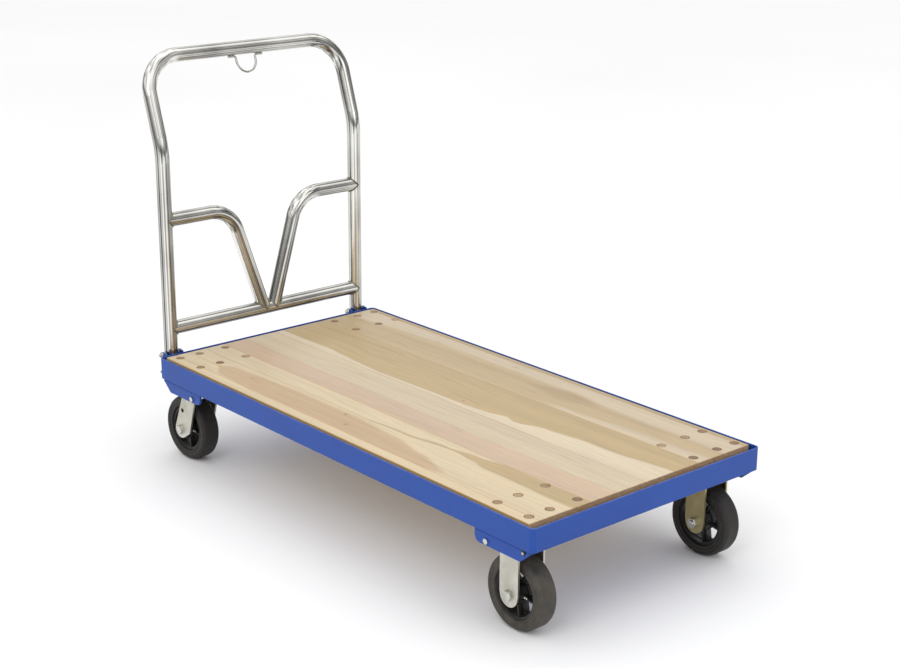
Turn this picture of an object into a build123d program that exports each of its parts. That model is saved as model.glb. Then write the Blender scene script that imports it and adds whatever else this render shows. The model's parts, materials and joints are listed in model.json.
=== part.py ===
"""Flatbed platform truck: steel frame, hardwood deck, tube push handle, two rigid and two swivel casters.

Millimetres. +X points from the handle end to the front, +Y to the truck's left, +Z up from the floor.
Pieces are drawn about the centre of the deck frame and shifted along X when they are written, so
that the origin is the middle of the whole truck's footprint.
"""
from build123d import *
from math import cos, radians, sin, tan
import os

os.makedirs("parts", exist_ok=True)

INCH = 25.4

# Deck frame: a ring of bent angle, upright leg outside, flat leg inward at the bottom.
FRAME_LENGTH = 48 * INCH
FRAME_WIDTH = 24 * INCH
FRAME_HEIGHT = 1.875 * INCH
FRAME_WALL = 0.125 * INCH
FRAME_LEG = 2 * INCH
FRAME_CORNER = 10.0

# Casters, 6 inch wheels.
CASTER_HEIGHT = 7.25 * INCH
CASTER_X = 527.0
CASTER_Y = 250.0
CASTER_TRAIL = 1.5 * INCH
CASTER_PLATE = (4.125 * INCH, 3.125 * INCH)
PLATE_WALL = 0.1875 * INCH
SWIVEL_REST = 3.0
WHEEL_RADIUS = 73.5
TYRE_WIDTH = 44.0
TREAD_WIDTH = 31.0
RIM_RADIUS = 51.0
RIM_INNER = 46.0
RIM_WIDTH = 32.0
HUB_LENGTH = 52.0
BOSS_RADIUS = 22.0
WEB = 8.0
SPOKES = 5
SPOKE_WIDTH = 7.0
# Direction of the first spoke, in degrees, the same on all four hubs.
SPOKE_TURN = 45
WINDOW_MARGIN = 1.5
WINDOW_CORNER = 2.0
BEARING_RADIUS = 12.0
SLEEVE_RADIUS = 8.0
RUNNING_GAP = 0.05
AXLE_RADIUS = INCH / 4
AXLE_HEX = 0.75 * INCH
AXLE_HEAD = 7.0
AXLE_NUT = 9.0
FORK_GAP = 58.0
FORK_WALL = 4.0
FORK_EDGE = 20.0
RIGID_EDGE = 23.0
RIGID_TAPER = 4.0
RIGID_LEG = 48.5
KNEE_X = -8.6
KNEE_RADIUS = 4.0
CROWN_REAR = -24.0
CROWN_FRONT = 20.0
FORK_HOLE = (29.7, 121.1)
FORK_HOLE_RADIUS = 5.0
CROWN_TOP = 166.0
CROWN_RADIUS = 43.0
BALL_RADIUS = 0.125 * INCH
BALL_RING = 25.0
BALL_COUNT = 14
KINGPIN_RADIUS = INCH / 4
KINGPIN_HEAD = 11.0
KINGPIN_HEX = 0.75 * INCH
KINGPIN_NUT = 8.0

# Caster pads: plates under the frame with an outer lip that hangs below its edge.
PAD_LENGTH = 5.75 * INCH
PAD_OUTER = 301.0
PAD_INNER = 138.0
PAD_LIP = 26.7
PAD_CORNER = 14.0
PAD_SLANT = 26.0
SIDE_BOLT_RADIUS = INCH / 8
SIDE_BOLT_DROP = 18.0
SIDE_BOLT_HEX = 11.1
SIDE_BOLT_HEAD = 3.6
SIDE_NUT = 5.0
LIP_SCREW = (583.5, 6.6)
LIP_SCREW_HEAD = 2.8
LIP_SCREW_RISE = 2.0
LIP_SCREW_SHANK = 2.0
LIP_WASHER_RADIUS = 5.3
LIP_WASHER = 1.2

# Deck boards, from the right-hand edge to the left-hand edge.
BOARD_THICKNESS = 1.875 * INCH
BOARD_REAR = -591.0
BOARD_FRONT = 592.0
BOARD_EDGES = (-297.0, -272.5, -145.4, -2.0, 143.5, 277.5, 291.0)
BOARD_EASE = 0.8

# Deck bolts: 5/16 inch, under wood plugs.
BOLT_RADIUS = 5 / 32 * INCH
BOLT_COLUMN = 3.25 * INCH / 2
BOLT_ROW = INCH
INNER_ROW = 156.0
BOLT_HEX = INCH / 2
BOLT_HEAD = 5.3
NUT_HEIGHT = 6.75
BOLT_END = 166.8
PLUG_RADIUS = 0.375 * INCH
PLUG_DEPTH = 12.0
WASHER_WALL = 1.6

# Push handle.
TUBE_RADIUS = 0.625 * INCH
TUBE_WALL = 2.1
POST_Y = 263.4
BEND_Z = 699.5
LEAN = radians(18)
TOP_Z = 893.5
BEND_RADIUS = 160.0
CORNER_RADIUS = 82.5
CROSSBAR_Z = 293.0
BRACE_BEND = 75.0
# Each brace: height of its level run, where its slant meets the crossbar, slant from upright.
BRACES = {
    "right": (542.5, -7.5, radians(18.8)),
    "left": (550.5, 20.0, radians(16.6)),
}
WIRE_RADIUS = 2.4
LOOP_HALF = 26.0
LOOP_LEG = 11.5
LOOP_FOOT = 20.0
LOOP_TURN = 5.0

# Post sockets: channels on the back of the frame, one bolt across each.
SOCKET_WIDTH = 1.75 * INCH
SOCKET_DEPTH = 0.875 * INCH
SOCKET_TOP = 240.2
SOCKET_WALL = 0.125 * INCH
SOCKET_BOLT_Z = 234.5
SOCKET_BOLT_RADIUS = INCH / 8
SOCKET_BOLT_HEX = 11.1
SOCKET_BOLT_HEAD = 4.2
SOCKET_NUT = 5.6
SOCKET_THREAD = 4.0
SPACER_RADIUS = 5.0

# Heights and positions that follow.
PAD_TOP = CASTER_HEIGHT + PLATE_WALL
FRAME_BOTTOM = PAD_TOP
FRAME_TOP = FRAME_BOTTOM + FRAME_HEIGHT
BOARD_BOTTOM = FRAME_BOTTOM + FRAME_WALL
DECK_TOP = BOARD_BOTTOM + BOARD_THICKNESS
POST_X = -FRAME_LENGTH / 2 - TUBE_RADIUS
POST_BOTTOM = FRAME_BOTTOM + SOCKET_WALL
TOP_X = POST_X - (TOP_Z - BEND_Z) * tan(LEAN)
STRAIGHT_POST = BEND_Z - POST_BOTTOM - BEND_RADIUS * tan(LEAN / 2)
ORIGIN_SHIFT = -(FRAME_LENGTH / 2 + TOP_X - TUBE_RADIUS) / 2
LEG_EDGE = FRAME_LENGTH / 2 - FRAME_LEG
COUNTERBORE = PLUG_DEPTH + BOLT_HEAD + WASHER_WALL
SIDE_BOLT_Z = FRAME_BOTTOM - SIDE_BOLT_DROP
FORK_HALF = FORK_GAP / 2 + FORK_WALL
PLATE_HOLES = [(column * BOLT_COLUMN, row * BOLT_ROW) for column in (-1, 1) for row in (-1, 1)]
SIDES = {"right": -1, "left": 1}
TOP_ALIGN = (Align.CENTER, Align.CENTER, Align.MAX)


def save(builder, label, place=Location()):
    """Put a finished piece in the truck's own frame and write it."""
    builder.part.label = label
    export_step(builder.part.moved(Location((ORIGIN_SHIFT, 0, 0)) * place), f"parts/{label}.step")


def circles(plane, points, radius):
    """Equal circles on a plane."""
    with BuildSketch(plane) as outline:
        with Locations(*points):
            Circle(radius)
    return outline.sketch


def hexagons(plane, points, across_flats):
    """Equal hexagons on a plane."""
    with BuildSketch(plane) as outline:
        with Locations(*points):
            RegularPolygon(across_flats / 2, 6, major_radius=False)
    return outline.sketch


def level(z):
    """The horizontal plane at a height."""
    return Plane.XY.offset(z)


def facing_left(y):
    """An upright lengthwise plane whose normal points to +Y; its own x runs along -X."""
    return Plane(origin=(0, y, 0), x_dir=(-1, 0, 0), z_dir=(0, 1, 0))


# Bolts through the deck: three rows on each side, two columns at each end.
BOLT_ROWS = (CASTER_Y + BOLT_ROW, CASTER_Y - BOLT_ROW, INNER_ROW)
DECK_POINTS = [
    (end * CASTER_X + column * BOLT_COLUMN, side * row)
    for end in (-1, 1)
    for column in (-1, 1)
    for side in (-1, 1)
    for row in BOLT_ROWS
]


def make_frame():
    """The angle ring."""
    with BuildPart() as frame_ring:
        with BuildSketch(level(FRAME_BOTTOM)):
            RectangleRounded(FRAME_LENGTH, FRAME_WIDTH, FRAME_CORNER)
        extrude(amount=FRAME_HEIGHT)
        fillet(frame_ring.edges().group_by(Axis.Z)[0], 1.5)
        with BuildSketch(level(BOARD_BOTTOM)):
            RectangleRounded(
                FRAME_LENGTH - 2 * FRAME_WALL, FRAME_WIDTH - 2 * FRAME_WALL, FRAME_CORNER - FRAME_WALL
            )
        extrude(amount=FRAME_HEIGHT, mode=Mode.SUBTRACT)
        with BuildSketch(level(FRAME_BOTTOM)):
            Rectangle(FRAME_LENGTH - 2 * FRAME_LEG, FRAME_WIDTH - 2 * FRAME_LEG)
        extrude(amount=FRAME_WALL, mode=Mode.SUBTRACT)
        holes = circles(level(FRAME_BOTTOM), DECK_POINTS, BOLT_RADIUS)
        extrude(holes, amount=FRAME_WALL, mode=Mode.SUBTRACT)
    save(frame_ring, "frame_ring")


def make_cross_plates():
    """Flat plates across the frame, level with its flat leg, one inside each end."""
    inner = CASTER_X - PAD_LENGTH / 2
    with BuildPart() as cross_plates:
        with BuildSketch(level(FRAME_BOTTOM)):
            with Locations(((inner + LEG_EDGE) / 2, 0), (-(inner + LEG_EDGE) / 2, 0)):
                Rectangle(LEG_EDGE - inner, FRAME_WIDTH - 2 * FRAME_LEG)
        extrude(amount=FRAME_WALL)
        holes = circles(level(FRAME_BOTTOM), DECK_POINTS, BOLT_RADIUS)
        extrude(holes, amount=FRAME_WALL, mode=Mode.SUBTRACT)
    save(cross_plates, "cross_plates")


def make_pad(end, side, label):
    """A caster pad with its outer lip bent down, cut off on a slant towards the truck's end."""
    outer_end = CASTER_X + PAD_LENGTH / 2
    lip_bottom = FRAME_BOTTOM - PAD_LIP
    with BuildPart() as pad:
        with BuildSketch(Plane.YZ.offset(end * CASTER_X)):
            with BuildLine():
                Polyline(
                    (side * PAD_INNER, CASTER_HEIGHT),
                    (side * PAD_INNER, PAD_TOP),
                    (side * PAD_OUTER, PAD_TOP),
                    (side * PAD_OUTER, lip_bottom),
                    (side * (PAD_OUTER - PLATE_WALL), lip_bottom),
                    (side * (PAD_OUTER - PLATE_WALL), CASTER_HEIGHT),
                    close=True,
                )
            make_face()
        extrude(amount=PAD_LENGTH / 2, both=True)
        outer_bend = pad.edges().filter_by(Axis.X).group_by(Axis.Z)[-1].sort_by(Axis.Y)[0 if side < 0 else -1]
        fillet(outer_bend, PLATE_WALL)
        lip_corners = pad.edges().filter_by(Axis.Y).group_by(Axis.Z)[0].sort_by(Axis.X)
        fillet(lip_corners[0 if end > 0 else -1], PAD_CORNER)
        with BuildSketch(facing_left(side * PAD_OUTER)) as slant:
            Polygon(
                (-end * outer_end, lip_bottom),
                (-end * (outer_end - PAD_SLANT), lip_bottom),
                (-end * outer_end, CASTER_HEIGHT),
                align=None,
            )
        extrude(slant.sketch, amount=-side * PLATE_WALL, mode=Mode.SUBTRACT)
        bolt_holes = circles(level(CASTER_HEIGHT), DECK_POINTS, BOLT_RADIUS)
        extrude(bolt_holes, amount=PLATE_WALL, mode=Mode.SUBTRACT)
        lip_point = [(-side_bolt_x(end), SIDE_BOLT_Z)]
        lip_hole = circles(facing_left(side * PAD_OUTER), lip_point, SIDE_BOLT_RADIUS)
        extrude(lip_hole, amount=-side * PLATE_WALL, mode=Mode.SUBTRACT)
        if end > 0:
            screw_hole = circles(facing_left(side * PAD_OUTER), [lip_screw_point()], LIP_SCREW_SHANK)
            extrude(screw_hole, amount=-side * PLATE_WALL, mode=Mode.SUBTRACT)
    save(pad, label)


def side_bolt_x(end):
    """The lip bolts stand on the pads' inner column."""
    return end * (CASTER_X - BOLT_COLUMN)


def lip_screw_point():
    """The front pads' lip screws, on a plane that faces left."""
    x, drop = LIP_SCREW
    return -x, FRAME_BOTTOM - drop


def make_side_fasteners():
    """One bolt and nut in each pad's lip, and a small screw on a washer in the front ones."""
    with BuildPart() as side_bolts:
        for end in (-1, 1):
            for side in (-1, 1):
                point = [(-side_bolt_x(end), SIDE_BOLT_Z)]
                face = facing_left(side * PAD_OUTER)
                extrude(hexagons(face, point, SIDE_BOLT_HEX), amount=side * SIDE_BOLT_HEAD)
                extrude(circles(face, point, SIDE_BOLT_RADIUS), amount=-side * (PLATE_WALL + SIDE_NUT + 1))
        for side in (-1, 1):
            face = facing_left(side * (PAD_OUTER + LIP_WASHER))
            point = [lip_screw_point()]
            extrude(circles(face, point, LIP_SCREW_HEAD), amount=side * LIP_SCREW_RISE)
            extrude(circles(face, point, LIP_SCREW_SHANK), amount=-side * (PLATE_WALL + LIP_WASHER))
    save(side_bolts, "side_bolts")
    with BuildPart() as lip_washers:
        for side in (-1, 1):
            face = facing_left(side * PAD_OUTER)
            point = [lip_screw_point()]
            extrude(circles(face, point, LIP_WASHER_RADIUS), amount=side * LIP_WASHER)
            extrude(circles(face, point, LIP_SCREW_SHANK), amount=side * LIP_WASHER, mode=Mode.SUBTRACT)
    save(lip_washers, "lip_washers")
    with BuildPart() as side_nuts:
        for end in (-1, 1):
            for side in (-1, 1):
                point = [(-side_bolt_x(end), SIDE_BOLT_Z)]
                face = facing_left(side * (PAD_OUTER - PLATE_WALL))
                extrude(hexagons(face, point, SIDE_BOLT_HEX), amount=-side * SIDE_NUT)
                extrude(circles(face, point, SIDE_BOLT_RADIUS), amount=-side * SIDE_NUT, mode=Mode.SUBTRACT)
    save(side_nuts, "side_nuts")


def make_boards():
    """Six planks along X, drilled and counterbored for the deck bolts."""
    for number, (low, high) in enumerate(zip(BOARD_EDGES, BOARD_EDGES[1:]), start=1):
        with BuildPart() as board:
            with BuildSketch(level(BOARD_BOTTOM)):
                with Locations(((BOARD_REAR + BOARD_FRONT) / 2, (low + high) / 2)):
                    Rectangle(BOARD_FRONT - BOARD_REAR, high - low)
            extrude(amount=BOARD_THICKNESS)
            chamfer(board.edges().group_by(Axis.Z)[-1], BOARD_EASE)
            bolt_holes = circles(level(BOARD_BOTTOM), DECK_POINTS, BOLT_RADIUS)
            extrude(bolt_holes, amount=BOARD_THICKNESS, mode=Mode.SUBTRACT)
            bore = circles(level(DECK_TOP), DECK_POINTS, PLUG_RADIUS)
            extrude(bore, amount=-COUNTERBORE, mode=Mode.SUBTRACT)
        save(board, f"board_{number}")


def make_deck_fasteners():
    """Bolts, washers, nuts and the wood plugs over the bolt heads."""
    seat = DECK_TOP - COUNTERBORE
    head = seat + WASHER_WALL
    with BuildPart() as wood_plugs:
        extrude(circles(level(DECK_TOP - PLUG_DEPTH), DECK_POINTS, PLUG_RADIUS), amount=PLUG_DEPTH)
    save(wood_plugs, "wood_plugs")
    with BuildPart() as deck_bolts:
        extrude(hexagons(level(head), DECK_POINTS, BOLT_HEX), amount=BOLT_HEAD)
        extrude(circles(level(BOLT_END), DECK_POINTS, BOLT_RADIUS), amount=head - BOLT_END)
    save(deck_bolts, "deck_bolts")
    with BuildPart() as deck_washers:
        extrude(circles(level(seat), DECK_POINTS, PLUG_RADIUS - 0.8), amount=WASHER_WALL)
        extrude(circles(level(seat), DECK_POINTS, BOLT_RADIUS), amount=WASHER_WALL, mode=Mode.SUBTRACT)
    save(deck_washers, "deck_washers")
    with BuildPart() as deck_nuts:
        for x, y in DECK_POINTS:
            under = CASTER_HEIGHT if abs(y) < CASTER_Y - 2 * BOLT_ROW else CASTER_HEIGHT - PLATE_WALL
            extrude(hexagons(level(under), [(x, y)], BOLT_HEX), amount=-NUT_HEIGHT)
            extrude(circles(level(under), [(x, y)], BOLT_RADIUS), amount=-NUT_HEIGHT, mode=Mode.SUBTRACT)
    save(deck_nuts, "deck_nuts")


def tube_along(points, bends):
    """A round tube through points, with one bend radius for each corner."""
    with BuildPart() as tube:
        with BuildLine() as path:
            if bends:
                FilletPolyline(*points, radius=bends)
            else:
                Line(*points)
        with BuildSketch(Plane(origin=path.line @ 0, z_dir=path.line % 0)):
            Circle(TUBE_RADIUS)
            Circle(TUBE_RADIUS - TUBE_WALL, mode=Mode.SUBTRACT)
        sweep()
    return tube


def make_hoop():
    """The handle's hoop: two posts, leaned-back shoulders and the push bar, in one tube."""
    half = [(POST_X, POST_Y, POST_BOTTOM), (POST_X, POST_Y, BEND_Z), (TOP_X, POST_Y, TOP_Z)]
    points = half + [(x, -y, z) for x, y, z in reversed(half)]
    hoop = tube_along(points, [BEND_RADIUS, CORNER_RADIUS, CORNER_RADIUS, BEND_RADIUS])
    with hoop:
        for side in SIDES.values():
            bore = circles(facing_left(side * POST_Y), [(-POST_X, SOCKET_BOLT_Z)], SOCKET_BOLT_RADIUS)
            extrude(bore, amount=TUBE_RADIUS, both=True, mode=Mode.SUBTRACT)
    save(hoop, "handle_hoop")


def post_solids():
    """The posts' outer cylinders, to cope other tubes against."""
    return circles(level(POST_BOTTOM), [(POST_X, side * POST_Y) for side in SIDES.values()], TUBE_RADIUS)


def make_crossbar():
    """The straight tube between the posts, low on the handle."""
    crossbar = tube_along([(POST_X, -POST_Y, CROSSBAR_Z), (POST_X, POST_Y, CROSSBAR_Z)], [])
    with crossbar:
        extrude(post_solids(), amount=STRAIGHT_POST, mode=Mode.SUBTRACT)
    save(crossbar, "handle_crossbar")


def make_brace(name):
    """A bent tube from one post down to the middle of the crossbar."""
    run_z, foot_y, slant = BRACES[name]
    corner_y = foot_y + SIDES[name] * (run_z - CROSSBAR_Z) * tan(slant)
    points = [
        (POST_X, SIDES[name] * POST_Y, run_z),
        (POST_X, corner_y, run_z),
        (POST_X, foot_y, CROSSBAR_Z),
    ]
    brace = tube_along(points, [BRACE_BEND])
    crossbar_axis = circles(facing_left(-POST_Y), [(-POST_X, CROSSBAR_Z)], TUBE_RADIUS)
    with brace:
        extrude(post_solids(), amount=STRAIGHT_POST, mode=Mode.SUBTRACT)
        extrude(crossbar_axis, amount=2 * POST_Y, mode=Mode.SUBTRACT)
    save(brace, f"handle_brace_{name}")


def make_loop():
    """A bent wire loop under the push bar, held by a straight foot at each side."""
    lean = Plane(origin=(TOP_X, 0, TOP_Z), x_dir=(0, 1, 0), z_dir=(cos(LEAN), 0, sin(LEAN)))
    foot_depth = -TUBE_RADIUS - WIRE_RADIUS
    leg_depth = foot_depth - LOOP_LEG
    outer = LOOP_HALF + LOOP_FOOT
    with BuildPart() as loop:
        with BuildLine(lean) as path:
            Line((-outer, foot_depth), (-LOOP_HALF - LOOP_TURN, foot_depth))
            RadiusArc((-LOOP_HALF - LOOP_TURN, foot_depth), (-LOOP_HALF, foot_depth - LOOP_TURN), LOOP_TURN)
            Line((-LOOP_HALF, foot_depth - LOOP_TURN), (-LOOP_HALF, leg_depth))
            ThreePointArc((-LOOP_HALF, leg_depth), (0, leg_depth - LOOP_HALF), (LOOP_HALF, leg_depth))
            Line((LOOP_HALF, leg_depth), (LOOP_HALF, foot_depth - LOOP_TURN))
            RadiusArc((LOOP_HALF, foot_depth - LOOP_TURN), (LOOP_HALF + LOOP_TURN, foot_depth), LOOP_TURN)
            Line((LOOP_HALF + LOOP_TURN, foot_depth), (outer, foot_depth))
        with BuildSketch(Plane(origin=path.line @ 0, z_dir=path.line % 0)):
            Circle(WIRE_RADIUS)
        sweep()
    save(loop, "handle_loop")


def make_socket(side, label):
    """A channel with a floor, welded to the back of the frame, that holds a handle post."""
    back = -FRAME_LENGTH / 2
    floor_length = 2 * TUBE_RADIUS
    with BuildPart() as socket:
        with BuildSketch(level(FRAME_BOTTOM)):
            with Locations((back - SOCKET_DEPTH / 2, side * POST_Y)):
                Rectangle(SOCKET_DEPTH, SOCKET_WIDTH)
        extrude(amount=SOCKET_TOP - FRAME_BOTTOM)
        with BuildSketch(level(POST_BOTTOM)):
            with Locations((back - SOCKET_DEPTH / 2, side * POST_Y)):
                Rectangle(SOCKET_DEPTH, SOCKET_WIDTH - 2 * SOCKET_WALL)
        extrude(amount=SOCKET_TOP - POST_BOTTOM, mode=Mode.SUBTRACT)
        rear_corners = socket.edges().filter_by(Axis.Y).group_by(Axis.Z)[-1].group_by(Axis.X)[0]
        fillet(rear_corners, 2)
        with BuildSketch(level(FRAME_BOTTOM)):
            with Locations((back - floor_length / 2, side * POST_Y)):
                RectangleRounded(floor_length, SOCKET_WIDTH, 3)
            with Locations((back - SOCKET_DEPTH / 2, side * POST_Y)):
                Rectangle(SOCKET_DEPTH, SOCKET_WIDTH)
        extrude(amount=SOCKET_WALL)
        bore = circles(facing_left(side * POST_Y), [(-POST_X, SOCKET_BOLT_Z)], SOCKET_BOLT_RADIUS)
        extrude(bore, amount=SOCKET_WIDTH / 2, both=True, mode=Mode.SUBTRACT)
    save(socket, label)


def make_post_fasteners():
    """One bolt across each socket, nut to the right, head to the left, with spacer rings beside the tube."""
    point = [(-POST_X, SOCKET_BOLT_Z)]
    gap = SOCKET_WIDTH / 2 - SOCKET_WALL - TUBE_RADIUS
    shank = SOCKET_WIDTH + SOCKET_NUT + SOCKET_THREAD
    with BuildPart() as post_bolts:
        for side in SIDES.values():
            left_wall = facing_left(side * POST_Y + SOCKET_WIDTH / 2)
            extrude(hexagons(left_wall, point, SOCKET_BOLT_HEX), amount=SOCKET_BOLT_HEAD)
            extrude(circles(left_wall, point, SOCKET_BOLT_RADIUS), amount=-shank)
    save(post_bolts, "post_bolts")
    with BuildPart() as post_nuts:
        for side in SIDES.values():
            right_wall = facing_left(side * POST_Y - SOCKET_WIDTH / 2)
            extrude(hexagons(right_wall, point, SOCKET_BOLT_HEX), amount=-SOCKET_NUT)
            extrude(circles(right_wall, point, SOCKET_BOLT_RADIUS), amount=-SOCKET_NUT, mode=Mode.SUBTRACT)
    save(post_nuts, "post_nuts")
    with BuildPart() as post_spacers:
        for side in SIDES.values():
            for wall in (-1, 1):
                inner_wall = facing_left(side * POST_Y + wall * (SOCKET_WIDTH / 2 - SOCKET_WALL))
                extrude(circles(inner_wall, point, SPACER_RADIUS), amount=-wall * (gap + 1))
                ring_bore = circles(inner_wall, point, SOCKET_BOLT_RADIUS)
                extrude(ring_bore, amount=-wall * (gap + 1), mode=Mode.SUBTRACT)
            extrude(
                circles(level(POST_BOTTOM), [(POST_X, side * POST_Y)], TUBE_RADIUS),
                amount=SOCKET_TOP - POST_BOTTOM,
                mode=Mode.SUBTRACT,
            )
    save(post_spacers, "post_spacers")


def caster_place(end, side):
    """Where a caster's plate centre stands, with the swivel casters' resting angle."""
    angle = SWIVEL_REST if (end, side) == (-1, -1) else 0
    return Location((end * CASTER_X, side * CASTER_Y, 0), (0, 0, angle))


def fixed_place(end, side):
    """Where a caster's plate centre stands, square to the truck."""
    return Location((end * CASTER_X, side * CASTER_Y, 0))


def fork_section(top, length_plane):
    """An upside-down U of sheet, as a face across the truck."""
    with BuildSketch(length_plane) as section:
        with Locations((0, top / 2)):
            Rectangle(2 * FORK_HALF, top)
        fillet(section.vertices().group_by(Axis.Y)[-1], 7)
        with Locations((0, (top - FORK_WALL) / 2)):
            inner = Rectangle(FORK_GAP, top - FORK_WALL, mode=Mode.PRIVATE)
        add(inner, mode=Mode.SUBTRACT)
    return section.sketch


def make_rigid_yoke(side, label):
    """Top plate and U-shaped fork of a rigid caster, welded into one piece."""
    plate_bottom = CASTER_HEIGHT - PLATE_WALL
    with BuildPart() as yoke:
        with BuildSketch(Plane.XZ) as leg:
            with Locations((0, WHEEL_RADIUS)):
                Circle(RIGID_EDGE)
            with Locations((0, (WHEEL_RADIUS + RIGID_TAPER + plate_bottom) / 2)):
                Rectangle(RIGID_LEG, plate_bottom - WHEEL_RADIUS - RIGID_TAPER)
            make_hull()
        extrude(amount=FORK_HALF, both=True)
        extrude(fork_section(plate_bottom, Plane.YZ), amount=RIGID_LEG, both=True, mode=Mode.INTERSECT)
        with BuildSketch(level(plate_bottom)):
            RectangleRounded(*CASTER_PLATE, 8)
        extrude(amount=PLATE_WALL)
        extrude(circles(level(plate_bottom), PLATE_HOLES, BOLT_RADIUS), amount=PLATE_WALL, mode=Mode.SUBTRACT)
        axle_bore = circles(facing_left(0), [(0, WHEEL_RADIUS)], AXLE_RADIUS)
        extrude(axle_bore, amount=FORK_HALF, both=True, mode=Mode.SUBTRACT)
    save(yoke, label, fixed_place(1, side))


def make_swivel_plate(side, label):
    """Top plate of a swivel caster with the upper ball track pressed down from it."""
    plate_bottom = CASTER_HEIGHT - PLATE_WALL
    track_bottom = CROWN_TOP + 2 * BALL_RADIUS + 0.3
    with BuildPart() as plate:
        with BuildSketch(level(plate_bottom)):
            RectangleRounded(*CASTER_PLATE, 8)
        extrude(amount=PLATE_WALL)
        extrude(circles(level(track_bottom), [(0, 0)], BALL_RING + 7), amount=plate_bottom - track_bottom)
        track_rim = plate.edges().filter_by(GeomType.CIRCLE).group_by(Axis.Z)[0]
        chamfer(track_rim, 2.5)
        extrude(circles(level(plate_bottom), PLATE_HOLES, BOLT_RADIUS), amount=PLATE_WALL, mode=Mode.SUBTRACT)
        extrude(circles(level(track_bottom), [(0, 0)], KINGPIN_RADIUS), amount=30, mode=Mode.SUBTRACT)
        with Locations((0, 0, CASTER_HEIGHT)):
            Cone(KINGPIN_RADIUS, KINGPIN_HEAD, PLATE_WALL, align=TOP_ALIGN, mode=Mode.SUBTRACT)
    save(plate, label, fixed_place(-1, side))


def make_kingpins():
    """Countersunk pins through plate and crown, and the nuts that hold the crowns up."""
    crown_bottom = CROWN_TOP - FORK_WALL
    nut_bottom = crown_bottom - 0.3 - KINGPIN_NUT
    points = [(-CASTER_X, side * CASTER_Y) for side in SIDES.values()]
    with BuildPart() as kingpins:
        extrude(circles(level(nut_bottom - 2), points, KINGPIN_RADIUS), amount=CASTER_HEIGHT - nut_bottom + 2)
        with Locations(*[(x, y, CASTER_HEIGHT) for x, y in points]):
            Cone(KINGPIN_RADIUS, KINGPIN_HEAD, PLATE_WALL, align=TOP_ALIGN)
    save(kingpins, "kingpins")
    with BuildPart() as kingpin_nuts:
        extrude(hexagons(level(nut_bottom), points, KINGPIN_HEX), amount=KINGPIN_NUT)
        extrude(circles(level(nut_bottom), points, KINGPIN_RADIUS), amount=KINGPIN_NUT, mode=Mode.SUBTRACT)
    save(kingpin_nuts, "kingpin_nuts")


def make_swivel_yoke(side, label):
    """Fork of a swivel caster: a crown that turns on the kingpin and two raked legs."""
    with BuildPart() as yoke:
        with BuildSketch(Plane.XZ):
            with Locations((-CASTER_TRAIL, WHEEL_RADIUS)):
                Circle(FORK_EDGE)
            with Locations((KNEE_X, WHEEL_RADIUS)):
                Circle(KNEE_RADIUS)
            with BuildLine():
                foot = CROWN_TOP - FORK_WALL
                top = [(CROWN_REAR, CROWN_TOP), (CROWN_FRONT, CROWN_TOP)]
                Polyline(*top, (CROWN_FRONT, foot), (CROWN_REAR, foot), close=True)
            make_face()
            make_hull()
        extrude(amount=FORK_HALF, both=True)
        extrude(fork_section(CROWN_TOP, Plane.YZ), amount=CASTER_PLATE[0], both=True, mode=Mode.INTERSECT)
        extrude(circles(level(CROWN_TOP), [(0, 0)], CROWN_RADIUS - 8), amount=-FORK_WALL)
        lip = circles(level(CROWN_TOP - FORK_WALL), [(0, 0)], BALL_RING + 10) - circles(
            level(CROWN_TOP - FORK_WALL), [(0, 0)], BALL_RING + 7.6
        )
        extrude(lip, amount=FORK_WALL + 5)
        bore = circles(level(CROWN_TOP - FORK_WALL), [(0, 0)], KINGPIN_RADIUS + RUNNING_GAP)
        extrude(bore, amount=FORK_WALL, mode=Mode.SUBTRACT)
        axle_bore = circles(facing_left(0), [(CASTER_TRAIL, WHEEL_RADIUS)], AXLE_RADIUS)
        extrude(axle_bore, amount=FORK_HALF, both=True, mode=Mode.SUBTRACT)
        window = circles(facing_left(0), [FORK_HOLE], FORK_HOLE_RADIUS)
        extrude(window, amount=FORK_HALF, both=True, mode=Mode.SUBTRACT)
    save(yoke, label, caster_place(-1, side))


def make_balls(side, label):
    """The ring of balls between crown and plate."""
    with BuildPart() as balls:
        with Locations((0, 0, CROWN_TOP + BALL_RADIUS)):
            with PolarLocations(BALL_RING, BALL_COUNT):
                Sphere(BALL_RADIUS)
    save(balls, label, caster_place(-1, side))


def make_axle(sides, x, label, place_of):
    """Axle bolts with the head outside the truck, their nuts inside and the sleeves between the legs."""
    bolts, nuts, sleeves = BuildPart(), BuildPart(), BuildPart()
    for side in sides:
        point = [(-x, WHEEL_RADIUS)]
        outer = facing_left(side * FORK_HALF)
        inner = facing_left(-side * FORK_HALF)
        shank = 2 * FORK_HALF + AXLE_NUT + 3
        with BuildPart() as bolt:
            extrude(hexagons(outer, point, AXLE_HEX), amount=side * AXLE_HEAD)
            extrude(circles(outer, point, AXLE_RADIUS), amount=-side * shank)
        with BuildPart() as nut:
            extrude(hexagons(inner, point, AXLE_HEX), amount=-side * AXLE_NUT)
            extrude(circles(inner, point, AXLE_RADIUS), amount=-side * AXLE_NUT, mode=Mode.SUBTRACT)
        with BuildPart() as sleeve:
            extrude(circles(facing_left(0), point, SLEEVE_RADIUS), amount=FORK_GAP / 2, both=True)
            sleeve_bore = circles(facing_left(0), point, AXLE_RADIUS)
            extrude(sleeve_bore, amount=FORK_GAP / 2, both=True, mode=Mode.SUBTRACT)
        for group, piece in ((bolts, bolt), (nuts, nut), (sleeves, sleeve)):
            with group:
                add(piece.part.moved(place_of(side)))
    save(bolts, f"{label}_bolt")
    save(nuts, f"{label}_nut")
    save(sleeves, f"{label}_sleeve")


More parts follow.
